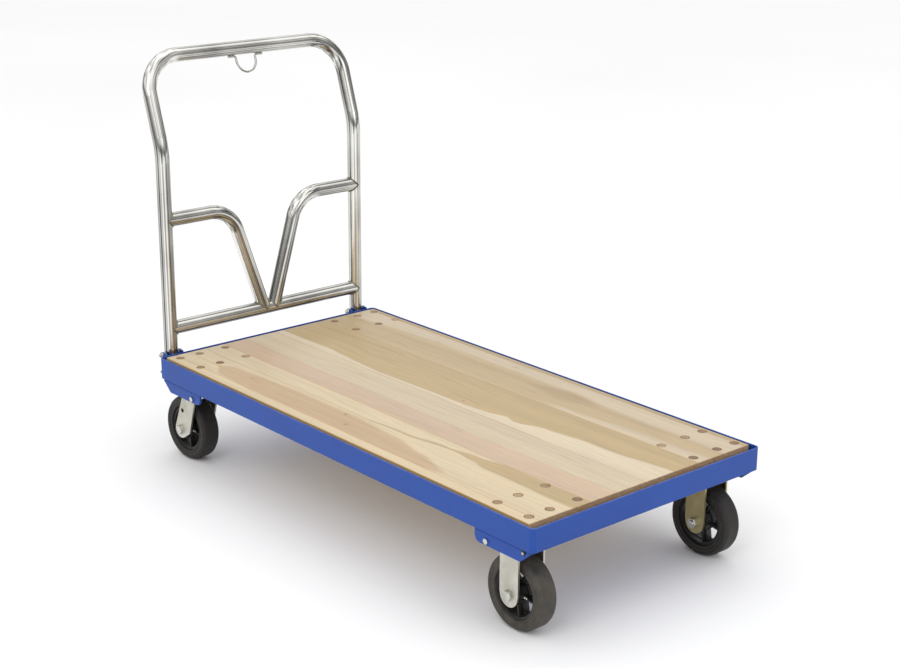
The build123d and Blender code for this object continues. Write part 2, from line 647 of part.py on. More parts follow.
def tyre_outline():
    """Half section of the tyre, radius along x and width along y, with a moulded ring on each wall."""
    half, tread = TYRE_WIDTH / 2, TREAD_WIDTH / 2
    wall = [
        (RIM_RADIUS, RIM_WIDTH / 2),
        (RIM_RADIUS + 1.5, half - 1.6),
        (RIM_RADIUS + 3.5, half - 1.6),
        (RIM_RADIUS + 5, half - 2.8),
        (RIM_RADIUS + 9.5, half - 1.6),
        (RIM_RADIUS + 14.5, half - 0.4),
        (WHEEL_RADIUS - 7.5, half),
        (WHEEL_RADIUS - 4.8, half - 1),
    ]
    return wall, (WHEEL_RADIUS - 1.5, tread + 1.8), (WHEEL_RADIUS, tread - 2.5), (WHEEL_RADIUS, -tread + 2.5)


def make_tyre(place, label):
    """Rubber tyre, moulded on the hub's rim."""
    wall, shoulder, tread_left, tread_right = tyre_outline()
    with BuildPart() as tyre:
        with BuildSketch():
            with BuildLine():
                Polyline(*wall, shoulder, tread_left, tread_right)
                Polyline(tread_right, (shoulder[0], -shoulder[1]), *[(x, -y) for x, y in reversed(wall)])
                Line((RIM_RADIUS, -RIM_WIDTH / 2), (RIM_RADIUS, RIM_WIDTH / 2))
            make_face()
        revolve(axis=Axis.Y)
    save(tyre, label, place)


def make_hub(place, label):
    """Cast hub: rim, boss and a web with open windows between ribbed spokes."""
    with BuildPart() as hub:
        with BuildSketch():
            with Locations(((RIM_RADIUS + RIM_INNER) / 2, 0)):
                Rectangle(RIM_RADIUS - RIM_INNER, RIM_WIDTH)
            with Locations(((BOSS_RADIUS + BEARING_RADIUS) / 2, 0)):
                Rectangle(BOSS_RADIUS - BEARING_RADIUS, HUB_LENGTH)
            with Locations(((RIM_INNER + BOSS_RADIUS) / 2, 0)):
                Rectangle(RIM_INNER - BOSS_RADIUS + 1, WEB)
        revolve(axis=Axis.Y)
        with BuildSketch(facing_left(-RIM_WIDTH / 2 + 3)):
            with PolarLocations((BOSS_RADIUS + RIM_INNER) / 2, SPOKES, start_angle=SPOKE_TURN):
                Rectangle(RIM_INNER - BOSS_RADIUS + 1, SPOKE_WIDTH / 2)
        extrude(amount=RIM_WIDTH - 6)
        with BuildSketch(facing_left(-WEB / 2)) as windows:
            Circle(RIM_INNER - WINDOW_MARGIN)
            Circle(BOSS_RADIUS + WINDOW_MARGIN, mode=Mode.SUBTRACT)
            with PolarLocations((BOSS_RADIUS + RIM_INNER) / 2, SPOKES, start_angle=SPOKE_TURN):
                Rectangle(RIM_INNER, SPOKE_WIDTH, mode=Mode.SUBTRACT)
            fillet(windows.vertices(), WINDOW_CORNER)
        extrude(amount=WEB, mode=Mode.SUBTRACT)
    save(hub, label, place)


def make_bearing(place, label):
    """Caged roller bearing in the hub's boss, drawn as one ring."""
    with BuildPart() as bearing:
        extrude(circles(facing_left(0), [(0, 0)], BEARING_RADIUS), amount=HUB_LENGTH / 2, both=True)
        bore = circles(facing_left(0), [(0, 0)], SLEEVE_RADIUS + RUNNING_GAP)
        extrude(bore, amount=HUB_LENGTH / 2, both=True, mode=Mode.SUBTRACT)
    save(bearing, label, place)


make_frame()
make_cross_plates()
make_boards()
make_deck_fasteners()
make_side_fasteners()
make_hoop()
make_crossbar()
make_loop()
make_post_fasteners()
make_kingpins()
make_axle(SIDES.values(), 0, "rigid_axle", lambda side: fixed_place(1, side))
for side_name, side_sign in SIDES.items():
    make_pad(1, side_sign, f"caster_pad_front_{side_name}")
    make_pad(-1, side_sign, f"caster_pad_rear_{side_name}")
    make_brace(side_name)
    make_socket(side_sign, f"post_socket_{side_name}")
    make_rigid_yoke(side_sign, f"rigid_yoke_{side_name}")
    make_swivel_plate(side_sign, f"swivel_plate_{side_name}")
    make_swivel_yoke(side_sign, f"swivel_yoke_{side_name}")
    make_balls(side_sign, f"swivel_balls_{side_name}")
    make_axle([side_sign], -CASTER_TRAIL, f"swivel_axle_{side_name}", lambda side: caster_place(-1, side))
    wheel_places = {
        "front": caster_place(1, side_sign) * Location((0, 0, WHEEL_RADIUS)),
        "rear": caster_place(-1, side_sign) * Location((-CASTER_TRAIL, 0, WHEEL_RADIUS)),
    }
    for end_name, wheel_place in wheel_places.items():
        make_tyre(wheel_place, f"tyre_{end_name}_{side_name}")
        make_hub(wheel_place, f"hub_{end_name}_{side_name}")
        make_bearing(wheel_place, f"bearing_{end_name}_{side_name}")
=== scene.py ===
"""Looks for the flatbed platform truck: materials, welds, fasteners, wheel detail, studio and camera.

Metres, in the model's own frame: +X to the front, +Y to the truck's left, +Z up from the floor.
"""
import json
import math

import bmesh
import bpy
from mathutils import Matrix, Vector

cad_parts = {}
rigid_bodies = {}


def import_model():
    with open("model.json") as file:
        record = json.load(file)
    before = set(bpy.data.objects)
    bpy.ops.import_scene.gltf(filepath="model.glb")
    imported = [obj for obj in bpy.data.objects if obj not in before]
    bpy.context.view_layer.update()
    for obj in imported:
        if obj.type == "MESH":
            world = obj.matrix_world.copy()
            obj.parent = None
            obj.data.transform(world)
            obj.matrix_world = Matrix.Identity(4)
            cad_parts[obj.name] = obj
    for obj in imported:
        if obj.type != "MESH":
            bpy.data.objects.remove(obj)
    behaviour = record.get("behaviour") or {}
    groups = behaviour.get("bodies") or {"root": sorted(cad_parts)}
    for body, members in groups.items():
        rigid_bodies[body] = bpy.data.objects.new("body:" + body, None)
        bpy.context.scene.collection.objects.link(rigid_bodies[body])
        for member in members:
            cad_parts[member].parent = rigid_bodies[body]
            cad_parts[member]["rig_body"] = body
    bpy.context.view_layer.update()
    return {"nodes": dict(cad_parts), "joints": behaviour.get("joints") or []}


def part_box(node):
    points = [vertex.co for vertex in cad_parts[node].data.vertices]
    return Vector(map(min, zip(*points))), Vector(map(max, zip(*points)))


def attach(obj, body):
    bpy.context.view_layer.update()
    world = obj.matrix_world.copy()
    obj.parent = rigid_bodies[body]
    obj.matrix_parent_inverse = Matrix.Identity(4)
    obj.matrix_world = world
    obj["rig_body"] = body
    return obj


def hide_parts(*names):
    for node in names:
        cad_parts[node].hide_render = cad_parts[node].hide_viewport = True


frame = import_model()
nodes = frame["nodes"]

MM = 0.001
frame_low, frame_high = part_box("frame_ring")
MIDDLE_X = (frame_low.x + frame_high.x) / 2
FRAME_TOP = frame_high.z


# --- Camera ---------------------------------------------------------------------------------------

AZIMUTH, PITCH, ROLL = math.radians(49.23), math.radians(17.79), math.radians(0.31)
CAMERA_PLACE = Vector((MIDDLE_X + 2.57607, -2.19623, FRAME_TOP + 1.2305))


def make_camera():
    """The camera, turned by azimuth, pitch and roll."""
    level = math.cos(PITCH)
    back = Vector((math.sin(AZIMUTH) * level, -math.cos(AZIMUTH) * level, math.sin(PITCH)))
    right = Vector((0, 0, 1)).cross(back).normalized()
    up = back.cross(right)
    rolled_right = math.cos(ROLL) * right + math.sin(ROLL) * up
    rolled_up = math.cos(ROLL) * up - math.sin(ROLL) * right
    camera = bpy.data.objects.new("camera", bpy.data.cameras.new("camera"))
    bpy.context.scene.collection.objects.link(camera)
    camera.data.sensor_width = 36
    camera.data.lens = 68.65
    camera.data.shift_x = 0.0019
    camera.data.shift_y = -0.0004
    camera.data.clip_end = 200
    turn = Matrix((rolled_right, rolled_up, back)).transposed().to_4x4()
    camera.matrix_world = Matrix.Translation(CAMERA_PLACE) @ turn
    bpy.context.scene.camera = camera
    bpy.context.scene.view_settings.view_transform = "Standard"


make_camera()


# --- Material helpers -----------------------------------------------------------------------------


def rgb(red, green, blue):
    """A screen colour, 0 to 255, as a linear RGBA."""
    channels = [value / 255 for value in (red, green, blue)]
    return (*[c / 12.92 if c <= 0.04045 else ((c + 0.055) / 1.055) ** 2.4 for c in channels], 1)


class Look:
    """A material and short calls for its nodes."""

    def __init__(self, name, **shader):
        self.material = bpy.data.materials.new(name)
        self.material.use_nodes = True
        self.tree = self.material.node_tree
        self.tree.nodes.clear()
        self.shader = self.node("BsdfPrincipled")
        output = self.node("OutputMaterial")
        self.tree.links.new(self.shader.outputs[0], output.inputs[0])
        coordinates = self.node("TexCoord")
        self.point = coordinates.outputs["Object"]
        self.normal = coordinates.outputs["Normal"]
        for socket, value in shader.items():
            self.plug(self.shader.inputs[socket.replace("_", " ")], value)

    def node(self, kind, **settings):
        made = self.tree.nodes.new("ShaderNode" + kind)
        for key, value in settings.items():
            setattr(made, key, value)
        return made

    def plug(self, socket, value):
        if isinstance(value, bpy.types.NodeSocket):
            self.tree.links.new(value, socket)
        else:
            socket.default_value = value

    def set(self, **values):
        for socket, value in values.items():
            self.plug(self.shader.inputs[socket.replace("_", " ")], value)

    def math(self, operation, first, second=0.0):
        made = self.node("Math", operation=operation)
        self.plug(made.inputs[0], first)
        self.plug(made.inputs[1], second)
        return made.outputs[0]

    def stretch(self, scale, offset=(0, 0, 0), source=None):
        made = self.node("Mapping")
        self.plug(made.inputs["Vector"], source or self.point)
        self.plug(made.inputs["Scale"], scale)
        self.plug(made.inputs["Location"], offset)
        return made.outputs[0]

    def noise(self, scale, offset=(0, 0, 0), detail=3.0, rough=0.5, warp=0.0, source=None):
        """Noise in 0 to 1; scale counts features per metre along X, Y and Z."""
        made = self.node("TexNoise")
        self.plug(made.inputs["Vector"], self.stretch(scale, offset, source=source))
        self.plug(made.inputs["Scale"], 1.0)
        self.plug(made.inputs["Detail"], detail)
        self.plug(made.inputs["Roughness"], rough)
        self.plug(made.inputs["Distortion"], warp)
        return made.outputs["Fac"]

    def span(self, value, low, high, to_low=0.0, to_high=1.0, smooth=False):
        made = self.node("MapRange", interpolation_type="SMOOTHSTEP" if smooth else "LINEAR")
        for key, number in zip((0, 1, 2, 3, 4), (value, low, high, to_low, to_high)):
            self.plug(made.inputs[key], number)
        return made.outputs[0]

    def mix(self, factor, first, second, blend="MIX"):
        made = self.node("Mix", data_type="RGBA", blend_type=blend)
        self.plug(made.inputs["Factor"], factor)
        self.plug(made.inputs[6], first)
        self.plug(made.inputs[7], second)
        return made.outputs[2]

    def ramp(self, value, stops, smooth="LINEAR"):
        made = self.node("ValToRGB")
        made.color_ramp.interpolation = smooth
        elements = made.color_ramp.elements
        while len(elements) < len(stops):
            elements.new(0.5)
        for element, (place, colour) in zip(elements, stops):
            element.position = place
            element.color = colour if hasattr(colour, "__len__") else (colour, colour, colour, 1)
        self.plug(made.inputs[0], value)
        return made.outputs[0]

    def split(self, source=None):
        made = self.node("SeparateXYZ")
        self.plug(made.inputs[0], source or self.point)
        return made.outputs[0], made.outputs[1], made.outputs[2]

    def bump(self, height, distance, strength=1.0):
        made = self.node("Bump")
        self.plug(made.inputs["Height"], height)
        self.plug(made.inputs["Distance"], distance)
        self.plug(made.inputs["Strength"], strength)
        self.tree.links.new(made.outputs[0], self.shader.inputs["Normal"])


def dress(look, *names):
    """Puts a look on CAD nodes."""
    for name in names:
        slots = nodes[name].material_slots
        for slot in slots:
            slot.material = look.material


# --- Wood -----------------------------------------------------------------------------------------

CREAM = rgb(228, 207, 170)
OLIVE = rgb(199, 172, 123)
PINK = rgb(214, 184, 154)
BROWN = rgb(206, 172, 132)
TAN = rgb(217, 197, 166)
DARK = rgb(150, 118, 80)
AMBER = rgb(190, 152, 92)
# End grain's own tone, set lighter as painted light against the shade in the gap at the board ends.
END_GRAIN_WITH_PAINTED_LIGHT = rgb(172, 135, 98)
PLAN_REACH = 0.62
PLAN_HALF = 0.32


class Wood(Look):
    """Planed hardwood that runs along X, with patches of darker heartwood drawn in plan."""

    def __init__(self, name, base, seed):
        super().__init__(name, Roughness=0.42)
        self.set(Coat_Weight=0.25, Coat_Roughness=0.22)
        self.seed = Vector((seed * 7.3, seed * 3.1, seed * 5.7))
        x, y, z = self.split()
        wander = self.noise((2.2, 6, 6), self.seed, detail=2)
        ripple = self.noise((14, 30, 30), self.seed * 2, detail=2)
        drift = self.math("MULTIPLY_ADD", wander, 0.022)
        drift.node.inputs[2].default_value = -0.011
        fine = self.math("MULTIPLY_ADD", ripple, 0.006)
        fine.node.inputs[2].default_value = -0.003
        self.x = self.math("SUBTRACT", x, MIDDLE_X)
        self.y = self.math("ADD", y, self.math("ADD", drift, fine))
        self.height = z
        self.colour = base

    def line(self, points):
        """A line across the plan, y for each x, as a socket."""
        along = self.span(self.x, -PLAN_REACH, PLAN_REACH)
        stops = [
            ((x / 1000 + PLAN_REACH) / (2 * PLAN_REACH), (y / 1000 + PLAN_HALF) / (2 * PLAN_HALF))
            for x, y in points
        ]
        across = self.ramp(along, stops, "EASE")
        return self.span(across, 0, 1, -PLAN_HALF, PLAN_HALF)

    def above(self, points, soft=0.004):
        """1 on the left-hand side of a line, 0 on its right-hand side."""
        gap = self.math("SUBTRACT", self.y, self.line(points))
        return self.span(gap, -soft, soft, smooth=True)

    def between(self, low, high, soft=0.004):
        outside = self.math("SUBTRACT", 1.0, self.above(high, soft))
        return self.math("MULTIPLY", self.above(low, soft), outside)

    def patch(self, mask, colour, strength=1.0):
        self.colour = self.mix(self.math("MULTIPLY", mask, strength), self.colour, colour)

    def vein(self, points, width, strength, start=-620, stop=620, colour=DARK):
        """A thin dark line in the wood between two places along X."""
        gap = self.math("ABSOLUTE", self.math("SUBTRACT", self.y, self.line(points)))
        near = self.span(gap, 0, width, 1, 0, smooth=True)
        begun = self.span(self.x, start / 1000, start / 1000 + 0.04, smooth=True)
        ended = self.span(self.x, stop / 1000 - 0.04, stop / 1000, 1, 0, smooth=True)
        self.patch(self.math("MULTIPLY", near, self.math("MULTIPLY", begun, ended)), colour, strength)

    def knot(self, x, y, size, strength=0.8):
        """A small dark eye, longer along the grain."""
        dx = self.math("MULTIPLY", self.math("SUBTRACT", self.x, x / 1000), 0.5)
        dy = self.math("SUBTRACT", self.y, y / 1000)
        far = self.math("SQRT", self.math("ADD", self.math("POWER", dx, 2.0), self.math("POWER", dy, 2.0)))
        tatter = self.noise((120, 200, 200), self.seed)
        ragged = self.math("ADD", far, self.math("MULTIPLY", tatter, size / 1500))
        halo = self.span(ragged, size / 1000, 3.2 * size / 1000, 1, 0, smooth=True)
        self.patch(halo, BROWN, 0.6)
        self.patch(self.span(ragged, size / 2500, size / 1000, 1, 0, smooth=True), rgb(112, 78, 50), strength)

    def finish(self):
        """Grain, pores, end grain lightened with painted light, and the varnished edge over the patches."""
        bands = self.noise((1.4, 26, 26), self.seed * 3, detail=3)
        fibres = self.noise((9, 330, 330), self.seed, detail=3, rough=0.6)
        hairs = self.noise((28, 900, 900), self.seed * 1.7, detail=2)
        ring_place = self.math("ADD", self.math("MULTIPLY", self.y, 62.0), self.math("MULTIPLY", bands, 5.0))
        ring_wave = self.math("FRACT", ring_place)
        from_middle = self.math("ABSOLUTE", self.math("SUBTRACT", ring_wave, 0.5))
        rings = self.span(from_middle, 0.3, 0.5, 0, 1, smooth=True)
        tone = self.span(bands, 0.25, 0.75, 0.725, 0.827)
        streaks = self.span(fibres, 0.3, 0.7, 0.925, 1.06)
        lines = self.span(rings, 0, 1, 1.0, 0.925)
        shade = self.math("MULTIPLY", tone, self.math("MULTIPLY", streaks, lines))
        tint = self.node("CombineColor")
        self.plug(tint.inputs[0], shade)
        self.plug(tint.inputs[1], self.math("MULTIPLY", shade, self.span(fibres, 0, 1, 1.01, 0.99)))
        self.plug(tint.inputs[2], self.math("MULTIPLY", shade, self.span(bands, 0, 1, 1.04, 0.96)))
        self.colour = self.mix(1.0, self.colour, tint.outputs[0], "MULTIPLY")
        flecks = self.noise((42, 700, 700), self.seed * 2.3, detail=2, rough=0.4)
        self.patch(self.span(flecks, 0.66, 0.74, smooth=True), DARK, 0.32)
        nx, ny, nz = self.split(self.normal)
        # End faces: end-grain colours with painted light, lighter than the shade in the gap would leave them.
        end = self.span(self.math("ABSOLUTE", nx), 0.5, 0.9, smooth=True)
        end_rings = self.noise((1, 90, 420), self.seed, detail=2, warp=0.4)
        end_colour = self.mix(self.span(end_rings, 0.35, 0.65), END_GRAIN_WITH_PAINTED_LIGHT, rgb(204, 168, 126))
        self.patch(end, end_colour, 0.85)
        edge = self.span(self.math("ABSOLUTE", ny), 0.35, 0.8, smooth=True)
        self.patch(edge, AMBER, 0.75)
        self.set(Base_Color=self.colour)
        self.set(Roughness=self.span(hairs, 0.2, 0.8, 0.36, 0.5))
        relief = self.math("ADD", fibres, self.math("MULTIPLY", hairs, 0.5))
        self.bump(relief, 0.00022, 0.6)
        return self


def flat(y):
    return [(-620, y), (620, y)]


def make_wood():
    """The six boards, each with its own heartwood."""
    dress(Wood("wood_1", rgb(230, 208, 168), 1).finish(), "board_1")

    board = Wood("wood_2", CREAM, 2)
    heart_low = [(-480, -238), (-420, -266), (-300, -280), (80, -282), (240, -276), (340, -262)]
    heart_high = [(-480, -236), (-430, -216), (-200, -204), (-20, -204)]
    heart_high += [(120, -214), (220, -232), (340, -260)]
    board.patch(board.between(heart_low, heart_high, 0.006), BROWN, 0.85)
    wedge_low = [(-20, -196), (120, -189), (250, -174), (310, -182), (350, -190), (620, -191)]
    wedge_high = [(-20, -194), (120, -184), (220, -172), (300, -160), (380, -146), (620, -140)]
    board.patch(board.between(wedge_low, wedge_high, 0.003), OLIVE)
    board.vein(wedge_low, 0.003, 0.55, -20, 320, rgb(166, 138, 88))
    board.knot(-46, -212, 4)
    board.knot(-350, -229, 3.5, 0.6)
    board.knot(0, -246, 6, 0.5)
    dress(board.finish(), "board_2")

    board = Wood("wood_3", rgb(220, 201, 168), 3)
    board.patch(board.between(flat(-160), flat(-84), 0.006), PINK, 0.8)
    board.patch(board.between([(-620, -147), (620, -147)], [(-620, -84), (620, -84)], 0.006), PINK, 0.4)
    board.vein([(380, -26), (430, -30)], 0.0014, 0.75, 380, 440)
    board.vein([(440, -44), (620, -54)], 0.0012, 0.5, 440, 600)
    board.knot(-225, -30, 2, 0.3)
    dress(board.finish(), "board_3")

    board = Wood("wood_4", rgb(232, 214, 182), 4)
    boundary = [(-620, 17), (-420, 20), (-220, 10), (-60, 14), (60, 16), (130, 22)]
    boundary += [(175, 34), (205, 26), (280, 44), (400, 56), (620, 76)]
    board.patch(board.above(boundary, 0.0035), OLIVE)
    board.vein(boundary, 0.0035, 0.35, -560, 260, rgb(176, 146, 100))
    board.vein([(-620, 108), (-260, 118)], 0.0025, 0.6, -590, -240, rgb(158, 130, 84))
    board.vein([(-420, 22), (-350, 22)], 0.0016, 0.7, -420, -345)
    board.knot(-116, 68, 3.5, 0.4)
    board.knot(48, 28, 5, 0.6)
    board.vein([(-25, 42), (110, 38)], 0.003, 0.5, -25, 110)
    dress(board.finish(), "board_4")

    board = Wood("wood_5", TAN, 5)
    low = [(-620, 140), (120, 142), (240, 160), (400, 172), (620, 176)]
    high = [(-620, 205), (-400, 236), (0, 240), (160, 236), (300, 222), (620, 216)]
    board.patch(board.between(low, high, 0.01), OLIVE, 0.8)
    eye = board.between([(40, 205), (160, 190), (280, 210)], [(40, 212), (160, 238), (280, 214)], 0.014)
    board.patch(eye, rgb(180, 152, 110), 0.7)
    board.vein([(-360, 168), (-300, 168)], 0.003, 0.5, -372, -300)
    board.vein([(-350, 141), (-160, 140)], 0.002, 0.5, -350, -180)
    board.knot(-286, 240, 2.5, 0.5)
    board.knot(-40, 260, 3, 0.5)
    dress(board.finish(), "board_5")

    dress(Wood("wood_6", rgb(190, 165, 122), 6).finish(), "board_6")


make_wood()


# --- Paint, metal, rubber -------------------------------------------------------------------------


def blue_paint():
    """Gloss enamel with a fine ripple, a painted highlight with light wear on the frame's upper edge, and
    dust in the coat.
    """
    look = Look("blue_enamel", Specular_IOR_Level=0.3)
    x, y, z = look.split()
    cloud = look.noise((7, 7, 14), detail=3)
    base = look.mix(look.span(cloud, 0.3, 0.7), rgb(28, 70, 154), rgb(34, 77, 162))
    # Painted highlight with light wear: the frame's top edge is made lighter blue, broken into patches.
    top_edge = look.span(z, FRAME_TOP - 0.0016, FRAME_TOP - 0.0004, smooth=True)
    edge_patches = look.span(look.noise((30, 30, 60), detail=4, rough=0.7), 0.38, 0.62, smooth=True)
    edge_highlight_and_wear = look.math("MULTIPLY", top_edge, look.math("MULTIPLY", edge_patches, 0.25))
    base = look.mix(edge_highlight_and_wear, base, rgb(104, 128, 184))
    scuffs = look.noise((60, 60, 320), (3, 1, 2), detail=3, rough=0.7)
    base = look.mix(look.span(scuffs, 0.68, 0.8, 0, 0.35, smooth=True), base, rgb(84, 104, 176))
    look.set(Base_Color=base, Roughness=look.span(cloud, 0.3, 0.7, 0.36, 0.44))
    look.bump(look.noise((420, 420, 420), detail=2), 0.00025, 0.35)
    return look


def plated(name, colour, shade, rough, grain=(600, 600, 600), streak=0.25):
    """Bright plated metal: a cloudy tint, fine scratches and uneven gloss."""
    look = Look(name, Metallic=1.0)
    cloud = look.noise((18, 18, 9), detail=4, rough=0.6)
    hair = look.noise(grain, (2, 5, 1), detail=2)
    look.set(Base_Color=look.mix(look.span(cloud, 0.35, 0.7, 0, 1), colour, shade))
    broad = look.span(cloud, 0.3, 0.7, rough - 0.04, rough + 0.06)
    narrow = look.span(hair, 0.3, 0.7, -streak * 0.1, streak * 0.1)
    look.set(Roughness=look.math("ADD", broad, narrow))
    look.bump(hair, 0.00006, 0.35)
    return look


def painted_reflection_tube():
    """Bright drawn tube with painted reflections: light and dark streaks in its colour that run along it,
    following the way the wall faces.
    """
    look = Look("bright_tube", Metallic=1.0)
    # Painted reflections: the colour goes light and dark with the way the wall faces, with a random cloud
    # over it.
    streak = look.noise((5, 5, 5), (1, 4, 2), detail=3, rough=0.55, source=look.normal)
    cloud = look.noise((5, 5, 5), detail=3)
    mixed = look.math("MULTIPLY_ADD", cloud, 0.35)
    mixed.node.inputs[2].default_value = -0.17
    along = look.math("ADD", streak, mixed)
    # Painted reflection tones, from dark to near white.
    painted_reflection_tones = (
        (0.36, rgb(84, 84, 84)),
        (0.45, rgb(150, 149, 145)),
        (0.53, rgb(202, 200, 194)),
        (0.62, rgb(236, 235, 230)),
    )
    look.set(Base_Color=look.ramp(along, painted_reflection_tones))
    look.set(Roughness=look.span(along, 0.3, 0.7, 0.24, 0.12))
    look.bump(look.noise((600, 600, 600), detail=2), 0.00004, 0.3)
    return look


def rubber(name, colour, dust, dust_share):
    """Tyre rubber: dark, with a film of dust and fine mould texture."""
    look = Look(name, Roughness=0.62)
    cloud = look.noise((34, 34, 34), detail=5, rough=0.65)
    speck = look.noise((700, 700, 700), detail=2)
    film = look.math("MULTIPLY", look.span(cloud, 0.35, 0.7, 0.2, 1), dust_share)
    base = look.mix(film, colour, dust)
    look.set(Base_Color=look.mix(look.span(speck, 0.6, 0.75, 0, 0.25), base, dust))
    look.set(Roughness=look.span(cloud, 0.3, 0.7, 0.5, 0.75))
    look.bump(look.math("ADD", speck, look.math("MULTIPLY", cloud, 2.0)), 0.0003, 0.4)
    return look


def black_iron():
    """Black painted casting."""
    look = Look("black_casting", Roughness=0.4)
    cloud = look.noise((60, 60, 60), detail=3)
    look.set(Base_Color=look.mix(look.span(cloud, 0.35, 0.7), rgb(20, 20, 21), rgb(40, 38, 36)))
    look.set(Roughness=look.span(cloud, 0.3, 0.7, 0.32, 0.55))
    look.bump(look.noise((320, 320, 320), detail=4), 0.0006, 0.5)
    return look


def plug_wood():
    """Darker plugs, each a little different, with painted shade on the chamfer round each rim."""
    look = Look("plug_wood", Roughness=0.45)
    tone = look.noise((19, 23, 1), (4, 2, 0), detail=0)
    grain = look.noise((700, 160, 200), detail=3)
    base = look.mix(look.span(tone, 0.3, 0.7), rgb(122, 93, 64), rgb(176, 145, 108))
    base = look.mix(look.span(grain, 0.4, 0.7, 0, 0.5), base, rgb(118, 86, 58))
    # Painted shade: the chamfer round each plug's rim, tipped away from straight up, is darkened.
    facing = look.split(look.normal)[2]
    look.set(Base_Color=look.mix(look.span(facing, 0.9, 0.98, 1, 0, smooth=True), base, rgb(78, 56, 38)))
    look.bump(grain, 0.0003, 0.5)
    return look


BLUE = blue_paint()
TUBE_METAL = painted_reflection_tube()
ZINC = plated("dull_zinc", rgb(214, 212, 202), rgb(186, 182, 168), 0.42, streak=0.5)
ZINC_YELLOW = plated("yellowed_zinc", rgb(190, 180, 138), rgb(160, 150, 110), 0.42, streak=0.5)
HARDWARE = plated("bright_zinc", rgb(214, 214, 208), rgb(180, 180, 172), 0.26)
TYRE = rubber("tyre_rubber", rgb(20, 18, 17), rgb(84, 77, 68), 0.16)
TYRE_DUSTY = rubber("tyre_rubber_dusty", rgb(34, 32, 29), rgb(112, 104, 92), 0.45)
IRON = black_iron()
PLUG = plug_wood()

SIDES = ("left", "right")
ENDS = ("front", "rear")
dress(BLUE, "frame_ring", "cross_plates", "post_socket_left", "post_socket_right")
dress(BLUE, *[f"caster_pad_{end}_{side}" for end in ENDS for side in SIDES])
dress(TUBE_METAL, "handle_hoop", "handle_crossbar", "handle_brace_left", "handle_brace_right", "handle_loop")
dress(ZINC, *[f"{kind}_{side}" for kind in ("rigid_yoke", "swivel_yoke", "swivel_plate") for side in SIDES])
dress(ZINC_YELLOW, "rigid_yoke_left")
dress(TYRE, *[f"tyre_{end}_{side}" for end in ENDS for side in SIDES])
dress(TYRE_DUSTY, "tyre_front_right")
dress(IRON, *[f"hub_{end}_{side}" for end in ENDS for side in SIDES])
dress(PLUG, "wood_plugs")
for node_name in nodes:
    if "bolt" in node_name or "nut" in node_name or "sleeve" in node_name or "washer" in node_name:
        dress(HARDWARE, node_name)
# The lip washers are black, a dark ring of painted shade round each lip bolt.
dress(IRON, "lip_washers")
dress(HARDWARE, "kingpins", "post_spacers", "swivel_balls_left", "swivel_balls_right")
dress(HARDWARE, *[f"bearing_{end}_{side}" for end in ENDS for side in SIDES])


# --- Added pieces ---------------------------------------------------------------------------------

WELD_RADIUS = 1.9 * MM
SOCKET_WELD = 1.6 * MM
RIPPLE = 2.6 * MM
RIPPLE_DEPTH = 0.16
SOCKET_WELD_END = 3
POST_BOX = {side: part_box(f"post_socket_{side}") for side in SIDES}
CROSSBAR_LOW, CROSSBAR_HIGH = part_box("handle_crossbar")
CROSSBAR_MIDDLE = (CROSSBAR_LOW + CROSSBAR_HIGH) / 2
TUBE = (CROSSBAR_HIGH.z - CROSSBAR_LOW.z) / 2
# Where each brace's slant meets the crossbar, and its angle from upright in degrees.
BRACE_FEET = {"right": (-7.5 * MM, 18.8), "left": (20.0 * MM, 16.6)}
OUTWARD = {"left": 1, "right": -1}
UP = Vector((0, 0, 1))


def across(axis):
    """Two unit vectors square to an axis and to each other."""
    first = axis.orthogonal().normalized()
    return first, axis.cross(first).normalized()


def sweep(shape, path, radius, closed=True, ripple=0.0, sides=8):
    """Adds a round ridge along a path to a mesh, swelling and thinning with each ripple."""
    rings, walked = [], 0.0
    count = len(path)
    for index, point in enumerate(path):
        before = path[index - 1] if closed or index else point
        after = path[(index + 1) % count] if closed or index < count - 1 else point
        along = (after - before).normalized()
        if rings:
            walked += (point - path[index - 1]).length
            first = (first - along * first.dot(along)).normalized()
            second = along.cross(first)
        else:
            first, second = across(along)
        size = radius * (1 + ripple * math.sin(2 * math.pi * walked / RIPPLE))
        turns = [2 * math.pi * k / sides for k in range(sides)]
        spokes = [first * math.cos(t) + second * math.sin(t) for t in turns]
        rings.append([shape.verts.new(point + size * spoke) for spoke in spokes])
    pairs = list(zip(rings, rings[1:])) + ([(rings[-1], rings[0])] if closed else [])
    for low, high in pairs:
        shift = min(range(sides), key=lambda k: (high[k].co - low[0].co).length) if high is rings[0] else 0
        for k in range(sides):
            a, b = low[k], low[(k + 1) % sides]
            c, d = high[(k + 1 + shift) % sides], high[(k + shift) % sides]
            shape.faces.new((a, b, c, d))
    if not closed:
        shape.faces.new(rings[0][::-1])
        shape.faces.new(rings[-1])


def lathe(shape, origin, axis, profile, segments=28):
    """Adds a turned form to a mesh; the profile is radius and height along the axis, in millimetres."""
    first, second = across(axis)
    rings = []
    for radius, height in profile:
        turns = [2 * math.pi * k / segments for k in range(segments)]
        ring = [first * math.cos(t) + second * math.sin(t) for t in turns]
        rings.append([shape.verts.new(origin + axis * height * MM + spoke * radius * MM) for spoke in ring])
    for low, high in zip(rings, rings[1:]):
        for k in range(segments):
            shape.faces.new((low[k], low[(k + 1) % segments], high[(k + 1) % segments], high[k]))
    shape.faces.new(rings[0][::-1])
    shape.faces.new(rings[-1])


